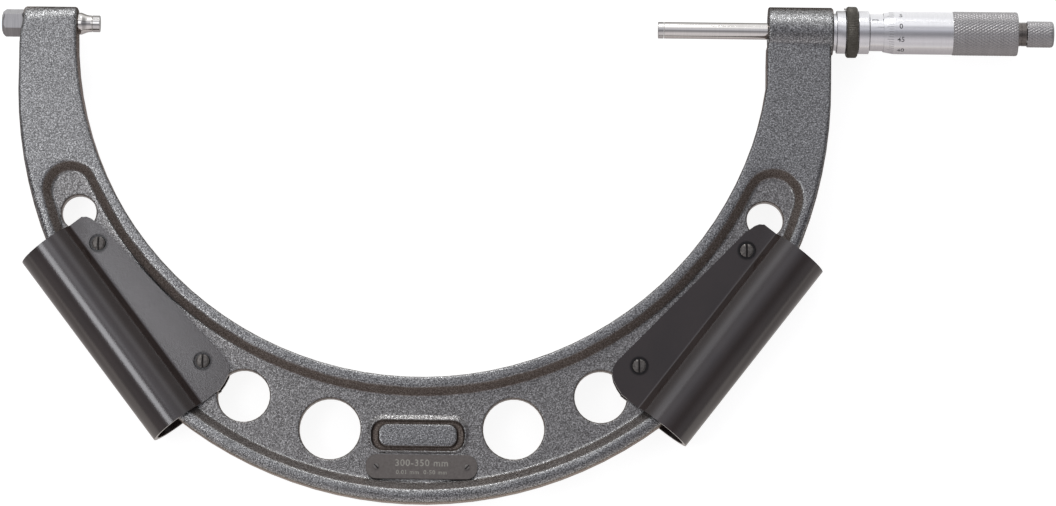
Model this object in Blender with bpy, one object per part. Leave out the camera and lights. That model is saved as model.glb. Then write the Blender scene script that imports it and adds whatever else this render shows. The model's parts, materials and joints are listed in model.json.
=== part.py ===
"""Outside micrometer, 300 to 350 mm, with a deep cast frame and two tubular grips.

Millimetres below, metres in the scene. The origin is the centre of the anvil's measuring face.
+X runs along the spindle axis from the anvil to the spindle, +Y away from the frame's arch,
and +Z out of the frame's front face.
"""

import math

import bmesh
import bpy
import numpy as np

for old in list(bpy.data.objects):
    bpy.data.objects.remove(old, do_unlink=True)

MM = 0.001
FIT = 0.3  # clearance between two pieces that touch

# Frame casting: the throat's ellipse, and the outer ellipse around it
GAUGE_LENGTH = 300.0
ANVIL_REACH = 11.7
SPINDLE_REACH = 58.3
THROAT_RADIUS = 185.3
THROAT_CENTRE_Y = -4.5
ARM_WIDTH_LEFT = 30.4
ARM_WIDTH_RIGHT = 32.6
FOOT_DEPTH = 66.8
OUTER_DROP = 28.1
ARM_INNER = -ANVIL_REACH
RIGHT_INNER = GAUGE_LENGTH + SPINDLE_REACH
THROAT_LEFT = ARM_INNER - 0.2
THROAT_RIGHT = RIGHT_INNER + 1.8
INNER_CENTRE = ((THROAT_LEFT + THROAT_RIGHT) / 2, THROAT_CENTRE_Y)
INNER_RADII = ((THROAT_RIGHT - THROAT_LEFT) / 2, THROAT_RADIUS)
OUTER_CENTRE = (INNER_CENTRE[0] + (ARM_WIDTH_RIGHT - ARM_WIDTH_LEFT) / 2, THROAT_CENTRE_Y - OUTER_DROP)
OUTER_RADII = (
    INNER_RADII[0] + (ARM_WIDTH_RIGHT + ARM_WIDTH_LEFT) / 2,
    INNER_RADII[1] + FOOT_DEPTH - OUTER_DROP,
)
OUTER_LEFT = OUTER_CENTRE[0] - OUTER_RADII[0]
OUTER_RIGHT = OUTER_CENTRE[0] + OUTER_RADII[0]
OUTER_BOTTOM = OUTER_CENTRE[1] - OUTER_RADII[1]
SHOULDER_Y = -2.0
FRAME_HALF = 10.0
WEB_HALF = 4.0
RIM_INNER = 5.4
RIM_OUTER_ARM = 5.8
RIM_OUTER_FOOT = 6.4
EDGE_ARM = 1.25
EDGE_FOOT = 3.2
# The edge rounding grows from the arms' to the foot's over this height
EDGE_GROWTH_TOP = -30.0
EDGE_GROWTH = 80.0
RECESS_TOP = -75.8
# Distance inside the recess outline, and height above the middle plane
RECESS_WALL = ((-1.1, 10.45), (0.5, 9.3), (3.9, 5.1), (4.5, 4.4), (5.3, WEB_HALF))

# Left arm with the anvil
ARM_TOP = 8.8
ARM_TOP_ROUND = 8.0
ARM_LEFT = OUTER_LEFT + 1.5
ANVIL_SHANK = 4.0
ANVIL_FLARE = 5.95
ANVIL_WAIST = 4.45
ANVIL_FLARE_LENGTH = 6.9
# Along the flare, and how much of the extra radius is left there
ANVIL_FLARE_STEPS = ((0.22, 1.0), (0.39, 0.86), (0.54, 0.62), (0.70, 0.35), (0.86, 0.12), (1.0, 0.0))
FACE_RADIUS = 4.5
ANVIL_TIP_LENGTH = 4.0
NUT_FLATS = 13.0
SPOT_FACE = 8.1
NUT_LENGTH = 11.4

# Right arm with the boss of the measuring head
BOSS_START = RIGHT_INNER + 0.9
BOSS_END = OUTER_RIGHT + 1.2
BOSS_RADIUS = 13.05

# Round holes in the web: direction from the throat's centre in degrees, diameter, and the
# distance outwards from the middle between the two outlines
HOLE_TURNS = (208.29, 244.62, 257.60, 283.47, 296.48, 331.83)
HOLE_WIDTHS = (18.6, 27.9, 32.6, 32.6, 27.9, 19.5)
HOLE_SHIFTS = (-0.05, 0.55, 0.01, -0.19, 0.55, -0.13)

# Rating plate: above the lower rim
PLATE_WIDTH = 59.2
PLATE_HEIGHT = 13.0
PLATE_CORNER = 5.5
PLATE_X = OUTER_CENTRE[0] + 1.1
PLATE_Y = OUTER_BOTTOM + 19.3
PLATE_THICK = 0.9
PIN_INSET = 5.5
PLATE_PINS = (
    ("left", PLATE_X - PLATE_WIDTH / 2 + PIN_INSET, PLATE_Y),
    ("right", PLATE_X + PLATE_WIDTH / 2 - PIN_INSET, PLATE_Y),
)
PIN_SHANK = 0.7
PIN_HEAD = 1.5

# Oval island in its moat, above the plate
ISLAND_WIDTH = 41.7
ISLAND_HEIGHT = 11.9
ISLAND_CORNER = 4.6
ISLAND_X = INNER_CENTRE[0]
ISLAND_Y = PLATE_Y + 16.8
MOAT_SIDE = 4.1
MOAT_RIM = 2.3
MOAT_FLOOR = 2.2
ISLAND_TOP = 5.0

# Grips: a tube over the outer rim with a flange on each face of the web. The outer outline
# is the same distance inside the tube's outer line at both ends.
GRIP_TURN = 218.4
GRIP_END_SEAT = 17.0
GRIP_LENGTH = 118.8
GRIP_RADIUS = 16.6
GRIP_WALL = 2.2
FLANGE_THICK = 2.5
CREASE_FILLET = 1.5
# Flange's free edge: distances from the throat's outline near its ends, its end corners, and
# how far in from that edge the screws sit
FLANGE_GAP_UPPER = 15.2
FLANGE_GAP_LOWER = 19.9
FLANGE_CORNER_UPPER = 9.9
FLANGE_CORNER_LOWER = 11.9
SCREW_FROM_UPPER = 16.8
SCREW_FROM_LOWER = 17.8
SCREW_INSET_UPPER = 7.4
SCREW_INSET_LOWER = 10.2
SCREW_SHANK = 1.7
SCREW_HEAD = 3.6
SCREW_SEAT = 4.85
SCREW_SEAT_DEPTH = 0.9
NUT_BARREL = 2.6
NUT_HEAD = 4.2

# Measuring head, radii and stations along X
SPINDLE_TIP_LENGTH = 3.0
SPINDLE_RADIUS = 4.5
THREAD_RADIUS = 4.0
BUSH_RADIUS = 8.0
NECK_RADIUS = 10.0
FLANGE_START = BOSS_END + 1.85
FLANGE_END = FLANGE_START + 5.0
FLANGE_RADIUS = 11.55
HUB_RADIUS = 9.5
LOCK_RADIUS = 13.85
LOCK_END = FLANGE_END + 6.35
LOCK_PIN_SPOT = (12.2, 2.4)
LOCK_PIN_RADIUS = 0.6
ROLLER_START = FLANGE_END + 1.75
ROLLER_LENGTH = 3.2
ROLLER_RADIUS = 1.75
ROLLER_OUT = 6.95
COLLAR_START = LOCK_END + FIT
COLLAR_END = COLLAR_START + 5.9
COLLAR_RADIUS = 11.675
INNER_FRONT = COLLAR_START + 0.2
PLUG_RADIUS = 7.0
THREAD_START = COLLAR_START + 0.6
SLEEVE_START = COLLAR_END + FIT
SLEEVE_END = SLEEVE_START + 69.4
SLEEVE_RADIUS = 10.0
SLEEVE_WALL = 1.4
INNER_END = SLEEVE_END - 2.0
INNER_STEP = INNER_END - 9.0
NUT_BORE_START = INNER_STEP - 12.0
NUT_SEAT_RADIUS = 6.5
THIMBLE_START = SLEEVE_START + 7.4
BEVEL_END = THIMBLE_START + 5.4
PLAIN_RADIUS = 11.45
KNURL_START = THIMBLE_START + 38.0
KNURL_RADIUS = 11.9
THIMBLE_END = THIMBLE_START + 72.1
THIMBLE_FLOOR = THIMBLE_END - 8.3
SPINDLE_END = THIMBLE_END - 3.1
STUB_RADIUS = 2.0
STUB_LENGTH = 8.5
RATCHET_NECK = 6.4
RATCHET_SHAFT = 3.0
KNOB_START = THIMBLE_END + 5.2
KNOB_END = KNOB_START + 14.35
KNOB_RADIUS = 7.15
KNOB_BORE = 5.6
SHAFT_LENGTH = 10.0
RATCHET_SCREW_RADIUS = 0.9


def make_material(name, colour, metallic, roughness):
    made = bpy.data.materials.new(name)
    made.use_nodes = True
    shader = made.node_tree.nodes["Principled BSDF"]
    shader.inputs["Base Color"].default_value = (*colour, 1.0)
    shader.inputs["Metallic"].default_value = metallic
    shader.inputs["Roughness"].default_value = roughness
    made.diffuse_color = (*colour, 1.0)
    return made


HAMMERTONE = make_material("hammertone_grey", (0.26, 0.265, 0.255), 0.3, 0.42)
LACQUER = make_material("black_lacquer", (0.034, 0.029, 0.029), 0.0, 0.32)
SATIN = make_material("satin_chrome", (0.62, 0.62, 0.64), 1.0, 0.38)
STEEL = make_material("ground_steel", (0.56, 0.55, 0.54), 1.0, 0.24)
CARBIDE = make_material("carbide", (0.24, 0.24, 0.25), 1.0, 0.3)
BLACKED = make_material("black_oxide", (0.02, 0.02, 0.021), 0.6, 0.4)
PLATE_GREY = make_material("plate_grey", (0.13, 0.12, 0.115), 0.3, 0.45)


def finish(name, mesh, material, at, sharp=32.0):
    """Puts a mesh given in world millimetres into the scene, with its origin at `at`."""
    build = bmesh.new()
    build.from_mesh(mesh)
    bmesh.ops.remove_doubles(build, verts=build.verts, dist=1e-5)
    bmesh.ops.recalc_face_normals(build, faces=build.faces)
    for vert in build.verts:
        vert.co = ((vert.co.x - at[0]) * MM, (vert.co.y - at[1]) * MM, (vert.co.z - at[2]) * MM)
    build.to_mesh(mesh)
    build.free()
    mesh.name = name
    mesh.materials.append(material)
    for face in mesh.polygons:
        face.use_smooth = True
    mesh.set_sharp_from_angle(angle=math.radians(sharp))
    made = bpy.data.objects.new(name, mesh)
    made.location = (at[0] * MM, at[1] * MM, at[2] * MM)
    bpy.context.scene.collection.objects.link(made)
    return made


def raw_mesh(points, faces):
    mesh = bpy.data.meshes.new("shape")
    mesh.from_pydata([tuple(map(float, p)) for p in points], [], faces)
    return mesh


def loft(loops):
    """A closed skin through loops of equal length, with a flat cap on the first and the last."""
    count = len(loops[0])
    points = [p for loop in loops for p in loop]
    faces = []
    for level in range(len(loops) - 1):
        low = level * count
        for i in range(count):
            j = (i + 1) % count
            faces.append((low + i, low + j, low + count + j, low + count + i))
    faces.append(tuple(range(count))[::-1])
    faces.append(tuple(range(len(points) - count, len(points))))
    return raw_mesh(points, faces)


def turned(profile, segments, axis="X", centre=(0.0, 0.0), phase=0.5):
    """A solid of revolution from (station, radius) pairs about a line along X or Z."""
    points = []
    rings = []
    for station, radius in profile:
        if radius < 1e-6:
            rings.append([len(points)])
            points.append((station, 0.0, 0.0))
            continue
        rings.append(list(range(len(points), len(points) + segments)))
        for i in range(segments):
            turn = 2.0 * math.pi * (i + phase) / segments
            points.append((station, radius * math.cos(turn), radius * math.sin(turn)))
    faces = []
    for k, ring in enumerate(rings):
        after = rings[(k + 1) % len(rings)]
        if len(ring) == 1 and len(after) == 1:
            continue
        for i in range(segments):
            j = (i + 1) % segments
            if len(ring) == 1:
                faces.append((ring[0], after[j], after[i]))
            elif len(after) == 1:
                faces.append((ring[i], ring[j], after[0]))
            else:
                faces.append((ring[i], ring[j], after[j], after[i]))
    if axis == "Z":
        points = [(y + centre[0], z + centre[1], x) for x, y, z in points]
    else:
        points = [(x, y + centre[0], z + centre[1]) for x, y, z in points]
    return raw_mesh(points, faces)


def block(low, high):
    corners = [(x, y, z) for z in (low[2], high[2]) for y in (low[1], high[1]) for x in (low[0], high[0])]
    faces = [(0, 2, 3, 1), (4, 5, 7, 6), (0, 1, 5, 4), (2, 6, 7, 3), (0, 4, 6, 2), (1, 3, 7, 5)]
    return raw_mesh(corners, faces)


def outward(mesh):
    build = bmesh.new()
    build.from_mesh(mesh)
    bmesh.ops.recalc_face_normals(build, faces=build.faces)
    build.to_mesh(mesh)
    build.free()
    return mesh


def joined(base, other, operation):
    """The mesh of `base` with `other` cut from it (DIFFERENCE) or added to it (UNION)."""
    first = bpy.data.objects.new("base", outward(base))
    second = bpy.data.objects.new("tool", outward(other))
    for each in (first, second):
        bpy.context.scene.collection.objects.link(each)
    step = first.modifiers.new("step", "BOOLEAN")
    step.operation = operation
    step.solver = "EXACT"
    step.object = second
    bpy.context.view_layer.update()
    graph = bpy.context.evaluated_depsgraph_get()
    result = bpy.data.meshes.new_from_object(first.evaluated_get(graph))
    for each in (first, second):
        bpy.data.objects.remove(each, do_unlink=True)
    build = bmesh.new()
    build.from_mesh(result)
    bmesh.ops.remove_doubles(build, verts=build.verts, dist=2e-4)
    bmesh.ops.dissolve_degenerate(build, edges=build.edges, dist=1e-4)
    build.to_mesh(result)
    build.free()
    return result


def inset(points, distances):
    """Moves each corner of a counter-clockwise outline inwards by its own distance."""
    points = np.asarray(points, float)
    before = points - np.roll(points, 1, axis=0)
    after = np.roll(points, -1, axis=0) - points
    before /= np.linalg.norm(before, axis=1)[:, None]
    after /= np.linalg.norm(after, axis=1)[:, None]
    normal_before = np.stack([-before[:, 1], before[:, 0]], axis=1)
    normal_after = np.stack([-after[:, 1], after[:, 0]], axis=1)
    both = normal_before + normal_after
    scale = 1.0 + (normal_before * normal_after).sum(axis=1)
    return points + both / scale[:, None] * np.asarray(distances, float).reshape(-1, 1)


def ellipse(centre, radii, turns, distance=0.0):
    """Points of an ellipse at the given parameters, moved outwards by a distance."""
    turns = np.asarray(turns, float)
    spot = np.stack([centre[0] + radii[0] * np.cos(turns), centre[1] + radii[1] * np.sin(turns)], axis=1)
    normal = np.stack([np.cos(turns) / radii[0], np.sin(turns) / radii[1]], axis=1)
    normal /= np.linalg.norm(normal, axis=1)[:, None]
    return spot + normal * np.asarray(distance, float).reshape(-1, 1)


def rounded_box(centre_x, centre_y, width, height, radius, steps=5):
    points = []
    corners = ((1, 1, 0), (-1, 1, 90), (-1, -1, 180), (1, -1, 270))
    for side_x, side_y, start in corners:
        for k in range(steps + 1):
            turn = math.radians(start + 90.0 * k / steps)
            x = centre_x + side_x * (width / 2 - radius) + radius * math.cos(turn)
            y = centre_y + side_y * (height / 2 - radius) + radius * math.sin(turn)
            points.append((x, y))
    return points


def at_height(points, height):
    return [(x, y, height) for x, y in points]


def frame_skin():
    """The solid outer shape of the casting, with its rounded edges, before anything is cut."""
    outer_turns = np.radians(np.linspace(178.0, 361.0, 58))
    outer = ellipse(OUTER_CENTRE, OUTER_RADII, outer_turns)
    right_turn = math.acos((RIGHT_INNER - INNER_CENTRE[0]) / INNER_RADII[0])
    inner_turns = np.linspace(2.0 * math.pi - right_turn, math.pi, 50)
    inner = ellipse(INNER_CENTRE, INNER_RADII, inner_turns)
    foot = EDGE_FOOT - EDGE_ARM
    rows = []
    # Each row: x, y, inward x and y of the edge rounding (None where it follows the outline), drop
    for x, below in ((OUTER_LEFT + 1.2, 0.0), (OUTER_LEFT + 0.4, 4.0), (OUTER_LEFT, 10.0)):
        rows.append((x, SHOULDER_Y - below, None, EDGE_ARM))
    for x, y in outer:
        low = min(1.0, max(0.0, (EDGE_GROWTH_TOP - y) / EDGE_GROWTH))
        rows.append((x, y, None, EDGE_ARM + foot * low))
    rows.append((OUTER_RIGHT, SHOULDER_Y - 10.0, None, EDGE_ARM))
    rows.append((OUTER_RIGHT - 0.5, SHOULDER_Y, (-EDGE_ARM, -EDGE_ARM), EDGE_ARM))
    rows.append((RIGHT_INNER + 2.7, SHOULDER_Y, (EDGE_ARM, -EDGE_ARM), EDGE_ARM))
    rows.append((RIGHT_INNER + 0.2, SHOULDER_Y - 7.0, (EDGE_ARM, 0.0), EDGE_ARM))
    rows.append((RIGHT_INNER, SHOULDER_Y - 16.0, (EDGE_ARM, 0.0), EDGE_ARM))
    for x, y in inner:
        rows.append((x, y, None, EDGE_ARM))
    rows.append((ARM_INNER, SHOULDER_Y, (-EDGE_ARM, 0.0), EDGE_ARM))
    top = ARM_TOP
    drop = ARM_TOP_ROUND
    for x, y in ((ARM_INNER, top - 1.6), (ARM_INNER - 0.5, top - 0.5), (ARM_INNER - 1.6, top)):
        rows.append((x, y, (-EDGE_ARM, -drop), drop))
    for share in (0.25, 0.5, 0.75):
        rows.append((ARM_INNER + share * (ARM_LEFT - ARM_INNER), top, (0.0, -drop), drop))
    for x, y in ((ARM_LEFT + 1.6, top), (ARM_LEFT + 0.5, top - 0.5), (ARM_LEFT, top - 1.6)):
        rows.append((x, y, (EDGE_ARM, -drop), drop))
    plain = np.array([(row[0], row[1]) for row in rows])
    follow = inset(plain, [row[3] for row in rows]) - plain
    shift = np.array([follow[i] if row[2] is None else row[2] for i, row in enumerate(rows)])
    drops = np.array([row[3] for row in rows])
    upper = []
    for degrees in (90.0, 60.0, 30.0, 0.0):
        turn = math.radians(degrees)
        spot = plain + shift * (1.0 - math.sin(turn))
        height = FRAME_HALF - drops * (1.0 - math.cos(turn))
        upper.append([(x, y, z) for (x, y), z in zip(spot, height)])
    lower = [[(x, y, -z) for x, y, z in loop] for loop in upper]
    return loft(lower[::-1] + upper)


def touch(centre, radii, distance, point, low, high):
    """Parameter at which the moved ellipse comes nearest to a point, and how near it comes."""
    turns = np.linspace(low, high, 4001)
    spots = ellipse(centre, radii, turns, distance)
    gaps = np.hypot(spots[:, 0] - point[0], spots[:, 1] - point[1])
    nearest = np.argmin(gaps)
    return turns[nearest], gaps[nearest]


def recess_end(side):
    """Centre and radius of the round end that touches both rims and stops at RECESS_TOP."""
    left = side == "left"
    low, high = (math.pi, 1.5 * math.pi) if left else (1.5 * math.pi, 2.0 * math.pi)
    radius = (ARM_WIDTH_LEFT if left else ARM_WIDTH_RIGHT) / 2
    for _ in range(8):
        y = RECESS_TOP - radius
        near = THROAT_LEFT if left else THROAT_RIGHT
        far = OUTER_LEFT if left else OUTER_RIGHT
        for _ in range(14):
            x = (near + far) / 2
            radius = touch(INNER_CENTRE, INNER_RADII, RIM_INNER, (x, y), low, high)[1]
            if radius < touch(OUTER_CENTRE, OUTER_RADII, -RIM_OUTER_ARM, (x, y), low, high)[1]:
                near = x
            else:
                far = x
    return x, RECESS_TOP - radius, radius


def recess_outline():
    """Upper edge of the recess, counter-clockwise."""
    left, right = recess_end("left"), recess_end("right")
    half = 1.5 * math.pi
    rim = RIM_OUTER_ARM
    low_outer = touch(OUTER_CENTRE, OUTER_RADII, -rim, left, math.pi, half)[0]
    high_outer = touch(OUTER_CENTRE, OUTER_RADII, -rim, right, half, 2.0 * math.pi)[0]
    low_inner = touch(INNER_CENTRE, INNER_RADII, RIM_INNER, left, math.pi, half)[0]
    high_inner = touch(INNER_CENTRE, INNER_RADII, RIM_INNER, right, half, 2.0 * math.pi)[0]
    turns = np.linspace(low_outer, high_outer, 44)
    widths = rim + (RIM_OUTER_FOOT - rim) * np.clip((-np.sin(turns) - 0.3) / 0.5, 0.0, 1.0)
    outer = ellipse(OUTER_CENTRE, OUTER_RADII, turns, -widths)
    inner = ellipse(INNER_CENTRE, INNER_RADII, np.linspace(high_inner, low_inner, 40), RIM_INNER)

    def end(circle, start, stop):
        first = math.atan2(start[1] - circle[1], start[0] - circle[0])
        last = math.atan2(stop[1] - circle[1], stop[0] - circle[0])
        if last < first:
            last += 2.0 * math.pi
        turns = np.linspace(first, last, 12)[1:-1]
        return [(circle[0] + circle[2] * math.cos(t), circle[1] + circle[2] * math.sin(t)) for t in turns]

    return list(map(tuple, outer)) + end(right, outer[-1], inner[0]) + list(map(tuple, inner)) + end(
        left, inner[-1], outer[0]
    )


def tray(outline, levels, sign):
    loops = []
    for distance, height in levels:
        loops.append(at_height(inset(outline, [distance] * len(outline)), sign * height))
    return loft(loops)


def ray_length(centre, radii, start, way):
    """Distance from a point inside an ellipse to the ellipse, in a given direction."""
    place = (np.asarray(start) - centre) / radii
    pace = np.asarray(way) / radii
    a, b, c = pace @ pace, place @ pace, place @ place - 1.0
    return (math.sqrt(b * b - a * c) - b) / a


def web_holes():
    """Centre and diameter of each round hole in the web."""
    holes = []
    for degrees, width, shift in zip(HOLE_TURNS, HOLE_WIDTHS, HOLE_SHIFTS):
        way = np.array([math.cos(math.radians(degrees)), math.sin(math.radians(degrees))])
        near = ray_length(INNER_CENTRE, INNER_RADII, INNER_CENTRE, way)
        far = ray_length(OUTER_CENTRE, OUTER_RADII, INNER_CENTRE, way)
        holes.append((*(INNER_CENTRE + way * ((near + far) / 2 + shift)), width))
    return holes


def grip_line():
    """Start of the left tube's outer line, its direction, and the direction across it."""
    turn = math.radians(GRIP_TURN)
    axis = np.array([-OUTER_RADII[0] * math.sin(turn), OUTER_RADII[1] * math.cos(turn)])
    axis /= np.linalg.norm(axis)
    across = np.array([-axis[1], axis[0]])
    middle = ellipse(OUTER_CENTRE, OUTER_RADII, [turn])[0]
    bow = 0.0
    for reach in (-GRIP_LENGTH / 2, GRIP_LENGTH / 2):
        far = ray_length(OUTER_CENTRE, OUTER_RADII, middle + reach * axis + GRIP_LENGTH * across, -across)
        bow += (GRIP_LENGTH - far) / 2
    start = middle - axis * GRIP_LENGTH / 2 + across * (bow - GRIP_END_SEAT)
    return start, axis, across


GRIP_START, GRIP_ALONG, GRIP_ACROSS = grip_line()


def grip_point(side, along, across):
    """World x and y of a point given along and across a grip; the right grip is mirrored."""
    x, y = GRIP_START + along * GRIP_ALONG + across * GRIP_ACROSS
    return (x, y) if side == "left" else (2 * OUTER_CENTRE[0] - x, y)


def flange_reach(along):
    """How far across the flange's straight free edge lies at a station of the grip."""
    stations = (FLANGE_CORNER_UPPER, GRIP_LENGTH - FLANGE_CORNER_LOWER)
    reach = []
    for station, gap in zip(stations, (FLANGE_GAP_UPPER, FLANGE_GAP_LOWER)):
        start = GRIP_START + station * GRIP_ALONG
        into = (np.asarray(start) - INNER_CENTRE) / INNER_RADII
        pace = GRIP_ACROSS / INNER_RADII
        a, b, c = pace @ pace, into @ pace, into @ into - 1.0
        reach.append((-b - math.sqrt(b * b - a * c)) / a - gap)
    slope = (reach[1] - reach[0]) / (stations[1] - stations[0])
    return reach[0] + slope * (along - stations[0])


def flange_edge():
    """Free edge of the flange, along and across, with its rounded ends."""
    first = flange_reach(FLANGE_CORNER_UPPER)
    last = flange_reach(GRIP_LENGTH - FLANGE_CORNER_LOWER)
    edge = [(0.0, first - 6.8), (0.35, first - 5.0), (1.5, first - 3.2), (3.8, first - 1.8)]
    edge.append((FLANGE_CORNER_UPPER, first))
    for before_end, drop in ((11.9, 0.0), (8.9, 0.3), (5.9, 1.9), (3.4, 4.8), (1.5, 8.7), (0.4, 12.1), (0.0, 14.5)):
        edge.append((GRIP_LENGTH - before_end, last - drop))
    return edge


GRIP_SCREWS = (
    ("upper", SCREW_FROM_UPPER, flange_reach(SCREW_FROM_UPPER) - SCREW_INSET_UPPER),
    ("lower", GRIP_LENGTH - SCREW_FROM_LOWER, flange_reach(GRIP_LENGTH - SCREW_FROM_LOWER) - SCREW_INSET_LOWER),
)


def make_frame():
    mesh = frame_skin()
    outline = recess_outline()
    for sign in (1.0, -1.0):
        mesh = joined(mesh, tray(outline, RECESS_WALL, sign), "DIFFERENCE")
    boss = turned(
        ((BOSS_START, 0.0), (BOSS_START, BOSS_RADIUS - 0.6), (BOSS_START + 0.6, BOSS_RADIUS),
         (BOSS_END - 0.8, BOSS_RADIUS), (BOSS_END, BOSS_RADIUS - 0.8), (BOSS_END, 0.0)), 48)
    mesh = joined(mesh, boss, "UNION")
    bore = turned(((BOSS_START - 3, 0.0), (BOSS_START - 3, BUSH_RADIUS + FIT),
                   (BOSS_END + 3, BUSH_RADIUS + FIT), (BOSS_END + 3, 0.0)), 32)
    mesh = joined(mesh, bore, "DIFFERENCE")
    bore = turned(((ARM_LEFT - 3, 0.0), (ARM_LEFT - 3, SPOT_FACE), (ARM_LEFT, SPOT_FACE),
                   (ARM_LEFT, ANVIL_SHANK + FIT), (ARM_INNER + 3, ANVIL_SHANK + FIT), (ARM_INNER + 3, 0.0)), 24)
    mesh = joined(mesh, bore, "DIFFERENCE")
    for x, y, width in web_holes():
        r = width / 2.0
        hole = turned(((-5.2, 0.0), (-5.2, r + 1.8), (-3.4, r), (3.4, r), (5.2, r + 1.8), (5.2, 0.0)),
                      32, "Z", (x, y))
        mesh = joined(mesh, hole, "DIFFERENCE")
    levels = ((-0.9, 4.9), (0.0, 3.9), (0.8, MOAT_FLOOR + 0.2), (1.1, MOAT_FLOOR))
    moat = rounded_box(ISLAND_X, ISLAND_Y, ISLAND_WIDTH + 2 * MOAT_SIDE, ISLAND_HEIGHT + 2 * MOAT_RIM,
                       ISLAND_CORNER + 2.0)
    mesh = joined(mesh, tray(moat, levels, 1.0), "DIFFERENCE")
    levels = ((-0.5, 1.4), (-0.4, MOAT_FLOOR + 0.1), (0.0, ISLAND_TOP - 0.7), (0.25, ISLAND_TOP - 0.2),
              (0.8, ISLAND_TOP))
    island = rounded_box(ISLAND_X, ISLAND_Y, ISLAND_WIDTH, ISLAND_HEIGHT, ISLAND_CORNER)
    mesh = joined(mesh, tray(island, levels, 1.0), "UNION")
    for _, x, y in PLATE_PINS:
        hole = turned(((1.5, 0.0), (1.5, PIN_SHANK + FIT), (6.0, PIN_SHANK + FIT), (6.0, 0.0)), 10, "Z", (x, y))
        mesh = joined(mesh, hole, "DIFFERENCE")
    for side in ("left", "right"):
        for _, along, across in GRIP_SCREWS:
            r = NUT_BARREL + FIT
            hole = turned(((-6.0, 0.0), (-6.0, r), (6.0, r), (6.0, 0.0)), 14, "Z",
                          grip_point(side, along, across))
            mesh = joined(mesh, hole, "DIFFERENCE")
    return finish("frame", mesh, HAMMERTONE, (0.0, 0.0, 0.0))


def make_grip(side):
    """A tube open at both ends, split along its length, with a flange at each lip of the split."""
    low = WEB_HALF + FIT
    high = low + FLANGE_THICK
    radius = GRIP_RADIUS
    bore = GRIP_RADIUS - GRIP_WALL
    edge = flange_edge()
    far = max(across for _, across in edge) + 5.0
    fillet = (radius + math.sqrt((radius + CREASE_FILLET) ** 2 - (high + CREASE_FILLET) ** 2),
              high + CREASE_FILLET)
    lean = math.atan2(fillet[1], fillet[0] - radius)
    upper = [(far, high), (fillet[0], high)]
    for k in range(1, 4):
        turn = -math.pi / 2 - (math.pi / 2 - lean) * k / 3.0
        upper.append((fillet[0] + CREASE_FILLET * math.cos(turn), fillet[1] + CREASE_FILLET * math.sin(turn)))
    section = list(upper)
    for k in range(1, 34):
        turn = lean + (2.0 * math.pi - 2.0 * lean) * k / 34.0
        section.append((radius + radius * math.cos(turn), radius * math.sin(turn)))
    section += [(n, -z) for n, z in reversed(upper)]
    section.append((far, -low))
    start = math.asin(low / bore)
    for k in range(0, 31):
        turn = 2.0 * math.pi - start - (2.0 * math.pi - 2.0 * start) * k / 30.0
        section.append((radius + bore * math.cos(turn), bore * math.sin(turn)))
    section.append((far, low))
    loops = []
    for along in (0.0, GRIP_LENGTH):
        loops.append([(*grip_point(side, along, n), z) for n, z in section])
    mesh = loft(loops)
    past = GRIP_LENGTH + 6.0
    waste = [(-6.0, edge[0][1] - 0.1)] + edge[1:-1]
    waste += [(past, edge[-1][1] - 1.0), (past, far + 8.0), (-6.0, far + 8.0)]
    waste = loft([at_height([grip_point(side, a, n) for a, n in waste], z) for z in (-2 * high, 2 * high)])
    mesh = joined(mesh, waste, "DIFFERENCE")
    for _, along, across in GRIP_SCREWS:
        spot = grip_point(side, along, across)
        r = SCREW_SHANK + FIT
        seat = high - SCREW_SEAT_DEPTH
        hole = turned(((0.0, 0.0), (0.0, r), (seat, r), (seat, SCREW_SEAT), (high + 2, SCREW_SEAT),
                       (high + 2, 0.0)), 20, "Z", spot)
        mesh = joined(mesh, hole, "DIFFERENCE")
        r = NUT_BARREL + FIT
        hole = turned(((-high - 2, 0.0), (-high - 2, r), (0.0, r), (0.0, 0.0)), 14, "Z", spot)
        mesh = joined(mesh, hole, "DIFFERENCE")
    middle = grip_point(side, GRIP_LENGTH / 2, radius)
    return finish("grip_" + side, mesh, LACQUER, (*middle, 0.0))


def make_grip_screw(side, place, along, across):
    spot = grip_point(side, along, across)
    seat = WEB_HALF + FIT + FLANGE_THICK - SCREW_SEAT_DEPTH + FIT
    profile = ((-2.5, 0.0), (-2.5, SCREW_SHANK), (seat, SCREW_SHANK), (seat, SCREW_HEAD),
               (seat + 0.8, SCREW_HEAD), (seat + 1.25, SCREW_HEAD - 0.9), (seat + 1.5, 0.0))
    mesh = turned(profile, 14, "Z", spot)
    slot = block((-6.0, -0.5, seat + 0.55), (6.0, 0.5, seat + 3.0))
    lean = math.radians(12.0 if side == "left" else -8.0)
    for vert in slot.vertices:
        x, y = vert.co.x, vert.co.y
        vert.co.x = spot[0] + x * math.sin(lean) - y * math.cos(lean)
        vert.co.y = spot[1] + x * math.cos(lean) + y * math.sin(lean)
    mesh = joined(mesh, slot, "DIFFERENCE")
    finish("grip_screw_%s_%s" % (side, place), mesh, BLACKED, (*spot, seat))


def make_grip_nut(side, place, along, across):
    spot = grip_point(side, along, across)
    seat = WEB_HALF + FIT + FLANGE_THICK + FIT
    profile = ((1.5, SCREW_SHANK + FIT), (1.5, NUT_BARREL), (-seat, NUT_BARREL), (-seat, NUT_HEAD),
               (-seat - 0.8, NUT_HEAD), (-seat - 1.4, NUT_HEAD - 1.2), (-seat - 1.6, 0.0), (-6.0, 0.0),
               (-6.0, SCREW_SHANK + FIT))
    finish("grip_nut_%s_%s" % (side, place), turned(profile, 12, "Z", spot), BLACKED, (*spot, -seat))


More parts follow.
